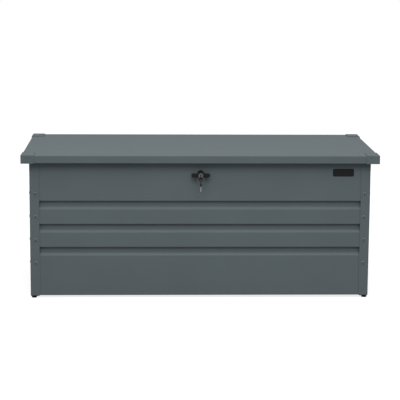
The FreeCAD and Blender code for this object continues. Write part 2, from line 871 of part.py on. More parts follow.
def lock_base():
    """Plate of the lock on the front wall with its threaded barrel through the wall."""
    front = panel_front - lock_plate_depth
    plate = stadium(
        lock_plate_width,
        lock_plate_height,
        lambda u, v: Vector(u, front, lock_z + v),
        Vector(0, lock_plate_depth, 0),
    )
    plate = plate.makeChamfer(lock_plate_chamfer, [e for e in plate.Edges if e.BoundBox.YMax < front + pick])
    barrel = rod((0, panel_front, lock_z), (0, 1, 0), lock_barrel_radius, lock_barrel_length)
    depth = lock_plate_depth + lock_barrel_length + 2 * overrun
    bore = rod((0, front - overrun, lock_z), (0, 1, 0), spindle_radius + spindle_gap, depth)
    return clean(plate.fuse(barrel).cut(bore))


def hexagon(width, start, depth):
    """Hexagonal bar along Y over the lock's axis, width across its flats."""
    r = width / math.sqrt(3)
    corners = [(r * math.cos(math.radians(60 * n)), r * math.sin(math.radians(60 * n))) for n in range(6)]
    return outline_face(corners, lambda u, v: Vector(u, start, lock_z + v)).extrude(Vector(0, depth, 0))


def lock_nut():
    """Flat nut that clamps the lock's barrel behind the wall."""
    start = (0, inner_front - overrun, lock_z)
    hole = rod(start, (0, 1, 0), lock_barrel_radius, lock_nut_depth + 2 * overrun)
    return hexagon(lock_nut_size, inner_front, lock_nut_depth).cut(hole)


def hub_back():
    """Rear face of the turning handle, just clear of the lock's plate."""
    return panel_front - lock_plate_depth - touch_gap


def hub_front():
    """Front face of the handle's hub."""
    return hub_back() - hub_depth


def handle():
    """T-handle: a round hub with two tapered grips and the bore for the key's plug."""
    back, front = hub_back(), hub_front()
    profile = [
        (0, back),
        (hub_radius, back),
        (hub_radius - hub_waist, back - hub_flare),
        (hub_radius, front + hub_rim),
        (hub_radius - hub_rim, front),
        (0, front),
    ]
    corners = [Vector(r, y, lock_z) for r, y in profile]
    edges = [Part.makeLine(a, b) for a, b in zip(corners, corners[1:] + corners[:1])]
    hub = Part.Face(Part.Wire(edges)).revolve(Vector(0, 0, lock_z), Vector(0, 1, 0), 360)
    reach = grip_span / 2 - grip_tip / 2
    half = grip_tip / 2
    root = grip_root / 2

    def at(u, v):
        return Vector(u, front + grip_setback, lock_z + v)

    outline = [
        Part.makeLine(at(-reach, half), at(0, root)),
        Part.makeLine(at(0, root), at(reach, half)),
        Part.Arc(at(reach, half), at(reach + half, 0), at(reach, -half)).toShape(),
        Part.makeLine(at(reach, -half), at(0, -root)),
        Part.makeLine(at(0, -root), at(-reach, -half)),
        Part.Arc(at(-reach, -half), at(-reach - half, 0), at(-reach, half)).toShape(),
    ]
    grips = Part.Face(Part.Wire(outline)).extrude(Vector(0, grip_depth, 0))
    grips = grips.makeChamfer(grip_chamfer, [e for e in grips.Edges if e.BoundBox.YLength < edge_drift])
    plug_depth = plug_length - plug_proud + overrun
    plug_room = rod((0, front - overrun, lock_z), (0, 1, 0), plug_radius + spindle_gap, plug_depth)
    spindle_room = rod((0, back + overrun, lock_z), (0, -1, 0), spindle_radius, spindle_seat() + overrun)
    return clean(hub.fuse(grips).cut([plug_room, spindle_room]))


def spindle_seat():
    """Depth of the spindle's seat in the back of the hub."""
    return hub_depth - (plug_length - plug_proud) - hub_web


def cam_face():
    """Front face of the cam, behind the wall's rail."""
    return inner_front + cam_setback


def spindle():
    """Spindle from the hub through the lock's barrel, with a square end for the cam."""
    start = hub_back() - spindle_seat()
    round_end = cam_face() - spindle_shoulder
    bar = rod((0, start, lock_z), (0, 1, 0), spindle_radius, round_end - start)
    half = spindle_square / 2
    square = box((-half, round_end, lock_z - half), (half, cam_face() + cam_sheet, lock_z + half))
    return clean(bar.fuse(square))


def cam():
    """Cam of the lock, upright while the lid is free."""
    r = cam_width / 2
    face = cam_face()

    def at(u, v):
        return Vector(u, face, lock_z + v)

    tip_half = cam_tip_width / 2
    tip = cam_length - tip_half
    outline = [
        Part.makeLine(at(-r, 0), at(-tip_half, tip)),
        Part.Arc(at(-tip_half, tip), at(0, cam_length), at(tip_half, tip)).toShape(),
        Part.makeLine(at(tip_half, tip), at(r, 0)),
        Part.Arc(at(r, 0), at(0, -r), at(-r, 0)).toShape(),
    ]
    plate = Part.Face(Part.Wire(outline)).extrude(Vector(0, cam_sheet, 0))
    half = spindle_square / 2 + cam_hole_gap
    hole = box((-half, face - overrun, lock_z - half), (half, face + cam_sheet + overrun, lock_z + half))
    return plate.cut(hole)


def cam_screw():
    """Screw and washer that hold the cam on the spindle's end."""
    start = cam_face() + cam_sheet
    washer = rod((0, start, lock_z), (0, 1, 0), cam_washer_radius, cam_washer_depth)
    return clean(washer.fuse(hexagon(cam_screw_width, start + cam_washer_depth, cam_screw_depth)))


def lid_catch():
    """Catch that hangs from the lid; its tab reaches under the turned cam."""
    tab_z = lock_z - cam_width / 2 - catch_play
    plate_y = cam_face() + cam_sheet + catch_gap
    points = [
        (plate_y + bracket_sheet + catch_flange, lid_under),
        (plate_y, lid_under),
        (plate_y, tab_z),
        (plate_y - catch_tab, tab_z),
    ]
    low = catch_offset
    # The line runs down the hook, so the sheet lies under the flange and tab and behind the plate.
    face = folded_outline(points, bracket_bend, bracket_sheet, lambda v, w: Vector(low, v, w))
    return face.extrude(Vector(catch_width, 0, 0))


def lock_plug():
    """Round plug of the lock with its key slot."""
    front = hub_front() - plug_proud
    plug = rod((0, front, lock_z), (0, 1, 0), plug_radius, plug_length)
    plug = plug.makeChamfer(plug_chamfer, [e for e in plug.Edges if e.BoundBox.YMax < front + pick])
    half_x = key_blade_sheet / 2 + key_slot_gap
    half_z = key_blade_width / 2 + key_slot_gap
    slot_end = front + plug_length - key_slot_end
    slot = box((-half_x, front - overrun, lock_z - half_z), (half_x, slot_end, lock_z + half_z))
    return plug.cut(slot)


def key_head_shape(at, extrude):
    """Rounded head of a key with its ring hole; u runs from the hole's end to the blade."""
    half = key_head_width / 2
    end = key_head_length
    taper = end - key_head_taper
    shoulder = key_blade_width / 2 + key_shoulder
    edges = [
        Part.Arc(at(half, -half), at(0, 0), at(half, half)).toShape(),
        Part.makeLine(at(half, half), at(taper, half)),
        Part.makeLine(at(taper, half), at(end, shoulder)),
        Part.makeLine(at(end, shoulder), at(end, -shoulder)),
        Part.makeLine(at(end, -shoulder), at(taper, -half)),
        Part.makeLine(at(taper, -half), at(half, -half)),
    ]
    hole = Part.Wire(Part.makeCircle(key_hole_radius, at(key_hole_inset, 0), Vector(1, 0, 0)))
    face = Part.Face([Part.Wire(Part.__sortEdges__(edges)), hole])
    face.validate()
    return face.extrude(extrude)


def key_blade_shape(at, extrude, length):
    """Blade of a key with its cuts, u along it from the head."""
    half = key_blade_width / 2
    first = key_neck + key_cut_start
    step = (length - key_tip - first) / key_cuts
    points = [(0, -half), (0, half), (first, half)]
    for n in range(key_cuts):
        start = first + n * step
        points.append((start + step / 2, half - (key_shallow_cut if n % 2 else key_deep_cut)))
        points.append((start + step, half))
    points += [(length, 0), (length - key_tip, -half)]
    return outline_face(points, at).extrude(extrude)


def key_start():
    """Front end of the head of the key that is in the lock."""
    return hub_front() - plug_proud - key_neck - key_head_length


def key_head():
    """Head of the key in the lock, on edge to the front."""
    x = -key_head_sheet / 2
    start = key_start()
    return key_head_shape(lambda u, v: Vector(x, start + u, lock_z + v), Vector(key_head_sheet, 0, 0))


def key_blade():
    """Blade of the key in the lock."""
    x = -key_blade_sheet / 2
    start = key_start() + key_head_length
    length = plug_length - key_slot_end - key_tip_gap + key_neck
    thickness = Vector(key_blade_sheet, 0, 0)
    return key_blade_shape(lambda u, v: Vector(x, start + u, lock_z + v), thickness, length)


def ring_pivot():
    """Depth and height where the ring's wire rests in the key head's hole."""
    return key_start() + key_hole_inset, lock_z - key_hole_radius + ring_wire_radius + ring_seat_gap


def key_ring():
    """Ring of flat wire hanging from the key in the lock."""
    y, z = ring_pivot()
    start = (0, y - ring_wire_radius, z - ring_radius)
    outer = rod(start, (0, 1, 0), ring_radius + ring_wire_radius, 2 * ring_wire_radius)
    inner = rod(start, (0, 1, 0), ring_radius - ring_wire_radius, 2 * ring_wire_radius)
    return outer.cut(inner)


def spare_top():
    """Upper end of the spare key's head, which hangs on the ring's lowest wire."""
    wire = ring_pivot()[1] - 2 * ring_radius
    return wire + ring_wire_radius + touch_gap - key_hole_radius + key_hole_inset


def spare_head():
    """Head of the spare key."""
    x = -key_head_sheet / 2
    y = ring_pivot()[0]
    return key_head_shape(lambda u, v: Vector(x, y + v, spare_top() - u), Vector(key_head_sheet, 0, 0))


def spare_blade():
    """Blade of the spare key."""
    x = -key_blade_sheet / 2
    y = ring_pivot()[0]
    top = spare_top() - key_head_length
    thickness = Vector(key_blade_sheet, 0, 0)
    return key_blade_shape(lambda u, v: Vector(x, y + v, top - u), thickness, key_blade_length)


def nodes():
    """Every piece of the chest under its name."""
    pieces = {
        "front_panel": front_panel(),
        "rear_panel": rear_panel(),
        "right_panel": side_panel(),
        "corner_screws": corner_screws(),
        "front_rail": cross_rail(True),
        "rear_rail": cross_rail(False),
        "right_rail": side_rail(),
        "rim_seal": rim_seal(),
        "right_floor": floor_half(),
        "floor_joiner": floor_joiner(),
        "right_front_post": corner_post(True),
        "right_rear_post": corner_post(False),
        "right_front_foot": foot(True),
        "right_rear_foot": foot(False),
        "hinge_pins": hinge_pins(),
        "hinge_body_screws": hinge_screws(False),
        "hinge_lid_screws": hinge_screws(True),
        "lid_panel": lid_panel(),
        "right_front_cap": corner_cap(True),
        "right_rear_cap": corner_cap(False),
        "middle_stiffener": stiffener(0),
        "right_stiffener": stiffener(stiffener_x),
        "right_strut_rod": strut_rod(),
        "right_strut_cylinder": strut_cylinder(),
        "right_strut_foot_bracket": strut_foot_bracket(),
        "right_strut_head_bracket": strut_head_bracket(),
        "lock_base": lock_base(),
        "lock_nut": lock_nut(),
        "handle": handle(),
        "spindle": spindle(),
        "cam": cam(),
        "cam_screw": cam_screw(),
        "lid_catch": lid_catch(),
        "lock_plug": lock_plug(),
        "key_head": key_head(),
        "key_blade": key_blade(),
        "key_ring": key_ring(),
        "spare_key_head": spare_head(),
        "spare_key_blade": spare_blade(),
    }
    for name, x in (("left", -hinge_x), ("middle", 0), ("right", hinge_x)):
        pieces[name + "_hinge_body_leaf"] = hinge_body_side(x)
        pieces[name + "_hinge_lid_leaf"] = hinge_lid_side(x)
    for name in [n for n in pieces if n.startswith("right_") and "hinge" not in n]:
        pieces[name.replace("right_", "left_", 1)] = across(pieces[name])
    return pieces


def main():
    """Write each piece to its own file."""
    os.makedirs("parts", exist_ok=True)
    for name, shape in nodes().items():
        shape.exportStep("parts/" + name + ".step")
    turn, stroke = strut_motion()
    (foot_y, foot_z), (head_y, head_z) = strut_pivots()
    print("hinge axis", hinge_axis())
    print("strut lower pivot", foot_y, foot_z, "upper pivot", head_y, head_z, "x", strut_x())
    print("strut direction and length", strut_line())
    print("strut turn", turn, "stroke", stroke)
    print("lock axis height", lock_z, "ring pivot", ring_pivot(), "ring radius", ring_radius)


main()
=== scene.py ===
# %% [markdown]
# # A garden storage chest of painted sheet steel
#
# The chest is a long box of folded and powder-coated steel: four walls with pressed grooves, round-cornered
# posts, a flat overlapping lid with plastic corner caps, and a T-handle lock in the middle of the front.
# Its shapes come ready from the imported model, so this lesson is mostly about finish and light. A powder coat
# is matt but not flat: it has a fine orange-peel skin that catches the light, and that skin is what tells
# the eye that it is looking at painted steel and not at plain grey plastic.

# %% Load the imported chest
import json
import math

import bpy
import numpy as np
from mathutils import Matrix, Vector


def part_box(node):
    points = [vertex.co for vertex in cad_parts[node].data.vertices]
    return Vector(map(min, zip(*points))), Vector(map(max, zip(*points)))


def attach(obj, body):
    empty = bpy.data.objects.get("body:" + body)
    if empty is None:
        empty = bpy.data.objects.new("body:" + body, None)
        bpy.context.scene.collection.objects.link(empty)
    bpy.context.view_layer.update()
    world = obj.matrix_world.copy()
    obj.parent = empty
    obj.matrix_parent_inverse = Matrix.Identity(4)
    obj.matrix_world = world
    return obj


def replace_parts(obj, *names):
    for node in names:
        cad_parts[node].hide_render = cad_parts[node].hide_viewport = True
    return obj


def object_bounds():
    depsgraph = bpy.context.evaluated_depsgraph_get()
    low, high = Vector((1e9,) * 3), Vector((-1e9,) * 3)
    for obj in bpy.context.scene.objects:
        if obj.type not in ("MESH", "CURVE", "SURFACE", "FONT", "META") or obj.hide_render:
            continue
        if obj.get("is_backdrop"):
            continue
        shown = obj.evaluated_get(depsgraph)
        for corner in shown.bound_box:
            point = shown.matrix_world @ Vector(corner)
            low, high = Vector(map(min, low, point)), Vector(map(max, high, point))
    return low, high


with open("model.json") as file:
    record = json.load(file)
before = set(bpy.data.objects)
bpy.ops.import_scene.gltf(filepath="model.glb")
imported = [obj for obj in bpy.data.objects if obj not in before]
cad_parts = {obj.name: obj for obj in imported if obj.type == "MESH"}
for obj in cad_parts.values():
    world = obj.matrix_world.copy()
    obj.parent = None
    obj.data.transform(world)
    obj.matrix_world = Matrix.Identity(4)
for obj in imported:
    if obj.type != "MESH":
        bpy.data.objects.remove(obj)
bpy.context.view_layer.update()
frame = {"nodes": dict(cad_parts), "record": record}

nodes = frame["nodes"]
print("pieces in the packed chest:", len(nodes))

# %% [markdown]
# ## The camera
#
# A photograph like this is taken from a few metres away with a long lens, so that the front stays almost
# square. The camera could be placed by eye, but the edges of the lid, the grooves and the corner posts are
# straight and their sizes are known. So its place was worked out from them, and three small angles turn it:
# down, to the right, and a little round its own axis. A sideways shift of the lens would bring the chest to
# the middle too, but it stays with the camera wherever it goes, and would push the chest aside in every
# other view.

# %% Place the camera
FRAME_PIXELS = 400
SENSOR = 36.0
FOCAL_PIXELS = 1479.35
CAMERA_PLACE = (-0.2297, -6.8688, 1.6008)
CAMERA_DOWN, CAMERA_RIGHT, CAMERA_ROLL = (math.radians(a) for a in (9.984, 1.996, 0.370))

camera_data = bpy.data.cameras.new("camera")
camera_data.sensor_width = SENSOR
camera_data.lens = FOCAL_PIXELS * SENSOR / FRAME_PIXELS
camera = bpy.data.objects.new("camera", camera_data)
bpy.context.scene.collection.objects.link(camera)
camera.matrix_world = (
    Matrix.Translation(CAMERA_PLACE)
    @ Matrix.Rotation(-CAMERA_RIGHT, 4, "Z")
    @ Matrix.Rotation(math.pi / 2 - CAMERA_DOWN, 4, "X")
    @ Matrix.Rotation(CAMERA_ROLL, 4, "Z")
)
bpy.context.scene.camera = camera
print("lens in millimetres:", round(camera_data.lens, 1))

# %% [markdown]
# ## Node helpers
#
# Every finish below is a small graph of nodes. Linking nodes one by one is slow to read, so two helpers do
# it: one adds a node and fills its inputs, the other starts a node group with named sockets. A socket is
# filled with a plain value, or with another node's output, which is linked.

# %% Node helpers
def add_node(tree, kind, inputs=None, **settings):
    """Adds a node of a kind; inputs maps a socket's name or number to a value or to another node's output."""
    node = tree.nodes.new(kind)
    for key, value in settings.items():
        setattr(node, key, value)
    for key, value in (inputs or {}).items():
        if isinstance(value, bpy.types.NodeSocket):
            tree.links.new(value, node.inputs[key])
        else:
            node.inputs[key].default_value = value
    return node


def new_group(name, inputs, outputs):
    """Starts a shader group; inputs and outputs are pairs of a socket's name and type."""
    tree = bpy.data.node_groups.new(name, "ShaderNodeTree")
    for label, kind in inputs:
        tree.interface.new_socket(label, in_out="INPUT", socket_type=kind)
    for label, kind in outputs:
        tree.interface.new_socket(label, in_out="OUTPUT", socket_type=kind)
    return tree, tree.nodes.new("NodeGroupInput"), tree.nodes.new("NodeGroupOutput")


VALUE, COLOUR, PLACE = "NodeSocketFloat", "NodeSocketColor", "NodeSocketVector"


def noise(tree, place, scale, detail=2.0, rough=0.5):
    """Output of a noise whose bumps are about 1 / scale metres across."""
    inputs = {"Vector": place, "Scale": scale, "Detail": detail, "Roughness": rough}
    return add_node(tree, "ShaderNodeTexNoise", inputs).outputs[0]


def maths(tree, operation, first, second):
    """Output of a Math node for two values."""
    return add_node(tree, "ShaderNodeMath", {0: first, 1: second}, operation=operation).outputs[0]


def stretched(tree, place, factors):
    """Place times a factor along each axis; a pattern on it gets narrow where the factor is large."""
    return add_node(tree, "ShaderNodeVectorMath", {0: place, 1: factors}, operation="MULTIPLY").outputs[0]


def spread(tree, value, low, high, start=0.3, end=0.7):
    """Maps a value that lies between start and end to one between low and high."""
    inputs = {"Value": value, "From Min": start, "From Max": end, "To Min": low, "To Max": high}
    return add_node(tree, "ShaderNodeMapRange", inputs).outputs["Result"]


def shaded(tree, colour, shade):
    """Colour multiplied by a grey value."""
    node = add_node(tree, "ShaderNodeMix", data_type="RGBA", blend_type="MULTIPLY")
    node.inputs["Factor"].default_value = 1.0
    for socket, value in ((node.inputs[6], colour), (node.inputs[7], shade)):
        if isinstance(value, bpy.types.NodeSocket):
            tree.links.new(value, socket)
        else:
            socket.default_value = value
    return node.outputs[2]


# %% [markdown]
# ## The skin of a powder coat
#
# Powder paint is sprayed dry and melted in an oven. It flows into shallow waves about two millimetres
# across, the orange peel, with a much finer texture on top. It could be a displaced mesh, but the waves are
# only about a tenth of a millimetre deep, so a bump is enough. The group also lets colour and gloss drift a
# little over the large panels, because no coat is even, and it can draw long thin scuffs: few on the
# walls, more on the floor where things are pushed about. A scuff polishes the paint, so it shines a little.
# A noise's scale is its number of bumps in a metre.

# %% Powder coat group
DRIFTS, PEELS, GRAINS = 3.5, 480.0, 2200.0
SCUFF_STRETCH = (3.0, 90.0, 45.0)
SCUFF_PALER, SCUFF_SMOOTHER, GRAIN_SHARE = 0.16, 0.18, 0.35
powder, given, made = new_group(
    "powder coat",
    (("Place", PLACE), ("Colour", COLOUR), ("Gloss", VALUE), ("Scuffs", VALUE)),
    (("Colour", COLOUR), ("Roughness", VALUE), ("Height", VALUE)),
)
drift = noise(powder, given.outputs["Place"], DRIFTS, 3.0)
peel = noise(powder, given.outputs["Place"], PEELS, 1.0)
grain = noise(powder, given.outputs["Place"], GRAINS, 1.0)
tone = spread(powder, drift, 0.965, 1.035)
speck = spread(powder, grain, 0.97, 1.03)
tone = maths(powder, "MULTIPLY", tone, speck)
along = stretched(powder, given.outputs["Place"], SCUFF_STRETCH)
scuff = spread(powder, noise(powder, along, 1.0, 4.0), 0.0, 1.0, 0.62, 0.70)
scuff = maths(powder, "MULTIPLY", scuff, given.outputs["Scuffs"])
tone = maths(powder, "ADD", tone, maths(powder, "MULTIPLY", scuff, SCUFF_PALER))
powder.links.new(shaded(powder, given.outputs["Colour"], tone), made.inputs["Colour"])
rough = maths(powder, "ADD", given.outputs["Gloss"], spread(powder, drift, -0.03, 0.03))
rough = maths(powder, "SUBTRACT", rough, maths(powder, "MULTIPLY", scuff, SCUFF_SMOOTHER))
powder.links.new(rough, made.inputs["Roughness"])
fine = maths(powder, "MULTIPLY", grain, GRAIN_SHARE)
powder.links.new(maths(powder, "ADD", peel, fine), made.inputs["Height"])
print("powder coat group:", len(powder.nodes), "nodes")

# %% [markdown]
# ## Grime along the corner posts
#
# The posts lie over the ends of the walls, and a thin line of shade runs down the wall beside each
# post's edge. A strip of geometry would be thicker than the real line, so the shade is painted into the
# wall's colour: the distance to the nearest post edge, measured along the wall, becomes a painted shade
# that fades out over a few millimetres. The front and back measure it along X, and the ends along Y.

# %% Painted seam shade group
post_low, post_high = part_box("right_front_post")
POST_X, FRONT_Y, POST_WIDTH = post_high[0], post_low[1], post_high[0] - post_low[0]
REAR_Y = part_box("right_rear_post")[1][1]
SEAM_FADE, TOUCHING, SHADE_CLOUDS = 0.006, 0.0001, 60.0
seam_shade, given, made = new_group("painted seam shade", (("Place", PLACE), ("Strength", VALUE)), (("Shade", VALUE),))
spot = add_node(seam_shade, "ShaderNodeSeparateXYZ", {0: given.outputs["Place"]})
from_middle = {
    "X": maths(seam_shade, "ABSOLUTE", spot.outputs["X"], 0.0),
    "Y": maths(seam_shade, "ABSOLUTE", maths(seam_shade, "SUBTRACT", spot.outputs["Y"], (FRONT_Y + REAR_Y) / 2), 0.0),
}
reach = {"X": POST_X - POST_WIDTH, "Y": (REAR_Y - FRONT_Y) / 2 - POST_WIDTH}
# Painted shade: a darkness beside each post edge, later multiplied into the wall's colour.
shade = 0.0
for along_wall, out_of_wall in (("X", "Y"), ("Y", "X")):
    beside = maths(seam_shade, "SUBTRACT", from_middle[along_wall], reach[along_wall])
    near = spread(seam_shade, beside, 0.0, 1.0, -SEAM_FADE, 0.0)
    bare = maths(seam_shade, "LESS_THAN", beside, TOUCHING)
    on_wall = maths(seam_shade, "GREATER_THAN", from_middle[out_of_wall], reach[out_of_wall] + POST_WIDTH / 2)
    open_wall = maths(seam_shade, "MULTIPLY", bare, on_wall)
    shade = maths(seam_shade, "ADD", shade, maths(seam_shade, "MULTIPLY", near, open_wall))
# A noise breaks the painted shade into soft patches.
shade_patches = spread(seam_shade, noise(seam_shade, given.outputs["Place"], SHADE_CLOUDS, 3.0), 0.6, 1.0)
shade = maths(seam_shade, "MULTIPLY", maths(seam_shade, "MULTIPLY", shade, shade_patches), given.outputs["Strength"])
seam_shade.links.new(maths(seam_shade, "SUBTRACT", 1.0, shade), made.inputs["Shade"])
print("painted seam shade group:", len(seam_shade.nodes), "nodes")
print("posts in metres:", round(POST_WIDTH, 4), "wide, outer face at", round(POST_X, 4))

# %% [markdown]
# ## Grime in the screws
#
# Each corner screw has a cross recess, and shade is painted into it, on top of the shade its walls cast.
# Painting it on screw by screw would need one mask for each of the thirty-two. But the screws of a post
# stand at even steps, the same way in from the corner, so all of them can be folded onto one: Ping-Pong
# folds the heights and Absolute folds the corners. What is left is the way to the nearest screw's middle,
# and the cross is where either part of it is short.

# %% Painted recess shade group
CORNER_HEAD_RADIUS, CORNER_HEAD_HEIGHT, CORNER_GRIP = 0.0065, 0.0033, 0.0070
CORNER_INSET, CORNER_REACH, ROWS = 0.026, 0.0041, 4
screws_low, screws_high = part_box("corner_screws")
levels = np.linspace(screws_high[2] - CORNER_HEAD_RADIUS, screws_low[2] + CORNER_HEAD_RADIUS, ROWS)
recess_shade, given, made = new_group(
    "painted recess shade", (("Place", PLACE), ("Strength", VALUE)), (("Shade", VALUE),)
)
spot = add_node(recess_shade, "ShaderNodeSeparateXYZ", {0: given.outputs["Place"]})
sideways = 1.0
for axis, centre, half in (("X", 0.0, POST_X), ("Y", (FRONT_Y + REAR_Y) / 2, (REAR_Y - FRONT_Y) / 2)):
    from_centre = maths(recess_shade, "ABSOLUTE", maths(recess_shade, "SUBTRACT", spot.outputs[axis], centre), 0.0)
    way = maths(recess_shade, "SUBTRACT", from_centre, half - CORNER_INSET)
    sideways = maths(recess_shade, "MINIMUM", sideways, maths(recess_shade, "ABSOLUTE", way, 0.0))
above_first = maths(recess_shade, "SUBTRACT", spot.outputs["Z"], float(levels[-1]))
upwards = maths(recess_shade, "PINGPONG", above_first, float(levels[0] - levels[1]) / 2)
off_line = maths(recess_shade, "MINIMUM", sideways, upwards)
both = add_node(recess_shade, "ShaderNodeCombineXYZ", {0: sideways, 1: upwards})
length = add_node(recess_shade, "ShaderNodeVectorMath", {0: both.outputs[0]}, operation="LENGTH")
from_screw = length.outputs["Value"]
line = spread(recess_shade, off_line, 1.0, 0.0, CORNER_REACH * 0.30, CORNER_REACH * 0.40)
end = spread(recess_shade, from_screw, 1.0, 0.0, CORNER_REACH, CORNER_REACH * 1.1)
# Painted shade: the cross recess of each screw is darkened in the colour.
shade = maths(recess_shade, "MULTIPLY", maths(recess_shade, "MULTIPLY", line, end), given.outputs["Strength"])
recess_shade.links.new(maths(recess_shade, "SUBTRACT", 1.0, shade), made.inputs["Shade"])
print("painted recess shade group:", len(recess_shade.nodes), "nodes; screws at heights", levels.round(4).tolist())

# %% [markdown]
# ## The grain of moulded plastic
#
# The corner caps, feet and key heads come out of a steel mould that was etched, which leaves small pits with
# round shoulders. Cells of a Voronoi pattern look like that, and their edges shine a little more.

# %% Moulded grain group
MOULD_CLOUDS = 25.0
moulded, given, made = new_group(
    "moulded grain",
    (("Place", PLACE), ("Colour", COLOUR), ("Gloss", VALUE), ("Grain", VALUE)),
    (("Colour", COLOUR), ("Roughness", VALUE), ("Height", VALUE)),
)
pattern = {"Vector": given.outputs["Place"], "Scale": given.outputs["Grain"]}
cells = add_node(moulded, "ShaderNodeTexVoronoi", pattern).outputs["Distance"]
cloud = noise(moulded, given.outputs["Place"], MOULD_CLOUDS, 3.0)
tone = spread(moulded, cloud, 0.93, 1.07)
moulded.links.new(shaded(moulded, given.outputs["Colour"], tone), made.inputs["Colour"])
change = spread(moulded, cells, -0.05, 0.06, 0.0, 0.7)
moulded.links.new(maths(moulded, "ADD", given.outputs["Gloss"], change), made.inputs["Roughness"])
moulded.links.new(cells, made.inputs["Height"])
print("moulded grain group:", len(moulded.nodes), "nodes")

# %% [markdown]
# ## Bare and plated metal
#
# Zinc plating shows cloudy patches, and a ground rod or a stamped key shows fine lines along one way. Both
# are one noise on stretched coordinates: with the same stretch every way it gives clouds, and with a strong
# stretch it gives lines. So one group serves every bare metal piece, with its own stretch.

# %% Metal grain group
metal, given, made = new_group(
    "metal grain",
    (("Place", PLACE), ("Stretch", PLACE), ("Colour", COLOUR), ("Gloss", VALUE), ("Contrast", VALUE)),
    (("Colour", COLOUR), ("Roughness", VALUE), ("Height", VALUE)),
)
drawn = stretched(metal, given.outputs["Place"], given.outputs["Stretch"])
lines = noise(metal, drawn, 1.0, 3.0, 0.6)
swing = maths(metal, "MULTIPLY", maths(metal, "SUBTRACT", lines, 0.5), given.outputs["Contrast"])
tone = maths(metal, "ADD", swing, 1.0)
metal.links.new(shaded(metal, given.outputs["Colour"], tone), made.inputs["Colour"])
metal.links.new(maths(metal, "ADD", given.outputs["Gloss"], swing), made.inputs["Roughness"])
metal.links.new(lines, made.inputs["Height"])
print("metal grain group:", len(metal.nodes), "nodes")

# %% [markdown]
# ## One finish for each material slot
#
# The imported model names a material slot for each piece. A table gives each slot its group, its colour and its
# numbers, and one function turns a row into a material. Numbers that are the same all over a surface are
# set on the shader's own sockets, and only what changes over the surface comes from the group.

# %% Build the finishes
# The lid, the walls and the floor of the chest wear one paint. The wall grey below is the lid's grey made five
# percent lighter: painted light that lifts the walls, which catch less of the lamps than the lid.
GREY = (0.078, 0.096, 0.103, 1.0)
WALL_GREY = (0.082, 0.101, 0.108, 1.0)
CAP_GREY = (0.076, 0.094, 0.100, 1.0)
# The next grey is the posts' paint made lighter by about two thirds: a painted highlight for the lit rims of
# the screw heads.
SCREW_LIT_GREY = (0.134, 0.158, 0.169, 1.0)
BLACK = (0.0060, 0.0060, 0.0065, 1.0)
RUBBER = (0.012, 0.012, 0.013, 1.0)
STEEL = (0.41, 0.41, 0.40, 1.0)
DARK_STEEL = (0.13, 0.13, 0.13, 1.0)
NICKEL = (0.138, 0.138, 0.134, 1.0)
ZINC = (0.29, 0.30, 0.315, 1.0)
MATT = {"Specular IOR Level": 0.10}
DEAD = {"Specular IOR Level": 0.12}
DULL = {"Specular IOR Level": 0.20}
SHINY = {"Specular IOR Level": 0.40}
BARE = {"Metallic": 1.0}


def bare_metal(stretch, colour, gloss, contrast):
    """Inputs of the metal grain group for one finish; stretch is one number or one for each axis."""
    stretch = stretch if isinstance(stretch, tuple) else (stretch,) * 3
    return {"Stretch": stretch, "Colour": colour, "Gloss": gloss, "Contrast": contrast}


# slot: group, group's inputs, bump depth in metres, shader's own values
FINISHES = {
    "wall_paint": (powder, {"Colour": WALL_GREY, "Gloss": 0.72, "Scuffs": 0.15}, 1.2e-4, MATT),
    "lid_paint": (powder, {"Colour": GREY, "Gloss": 0.72, "Scuffs": 0.10}, 1.2e-4, MATT),
    "floor_paint": (powder, {"Colour": GREY, "Gloss": 0.76, "Scuffs": 1.0}, 1.2e-4, MATT),
    "screw_paint": (powder, {"Colour": SCREW_LIT_GREY, "Gloss": 0.45, "Scuffs": 0.0}, 3e-5, DULL),
    "cap_paint": (moulded, {"Colour": CAP_GREY, "Gloss": 0.68, "Grain": 1400.0}, 5e-5, MATT),
    "black_plastic": (moulded, {"Colour": BLACK, "Gloss": 0.60, "Grain": 1600.0}, 5e-5, DEAD),
    "key_plastic": (moulded, {"Colour": BLACK, "Gloss": 0.42, "Grain": 2600.0}, 2e-5, DEAD),
    "seal_rubber": (moulded, {"Colour": RUBBER, "Gloss": 0.75, "Grain": 3000.0}, 3e-5, DULL),
    "black_lock": (powder, {"Colour": BLACK, "Gloss": 0.36}, 2e-5, DEAD),
    "strut_black": (powder, {"Colour": BLACK, "Gloss": 0.22}, 1e-5, SHINY),
    "zinc": (metal, bare_metal(160.0, ZINC, 0.40, 0.40), 2e-5, BARE),
    "bright_steel": (metal, bare_metal((2500.0, 2500.0, 120.0), STEEL, 0.26, 0.18), 1e-5, BARE),
    "chrome": (metal, bare_metal(900.0, NICKEL, 0.30, 0.08), 5e-6, BARE),
    "dark_steel": (metal, bare_metal(700.0, DARK_STEEL, 0.38, 0.20), 1e-5, BARE),
    "rod_chrome": (metal, bare_metal((1500.0, 200.0, 400.0), STEEL, 0.12, 0.06), 3e-6, BARE),
}
# slot: group that paints shade into its colour, and how dark that is at most
PAINTED_SHADE = {"wall_paint": (seam_shade, 0.20), "screw_paint": (recess_shade, 0.85)}


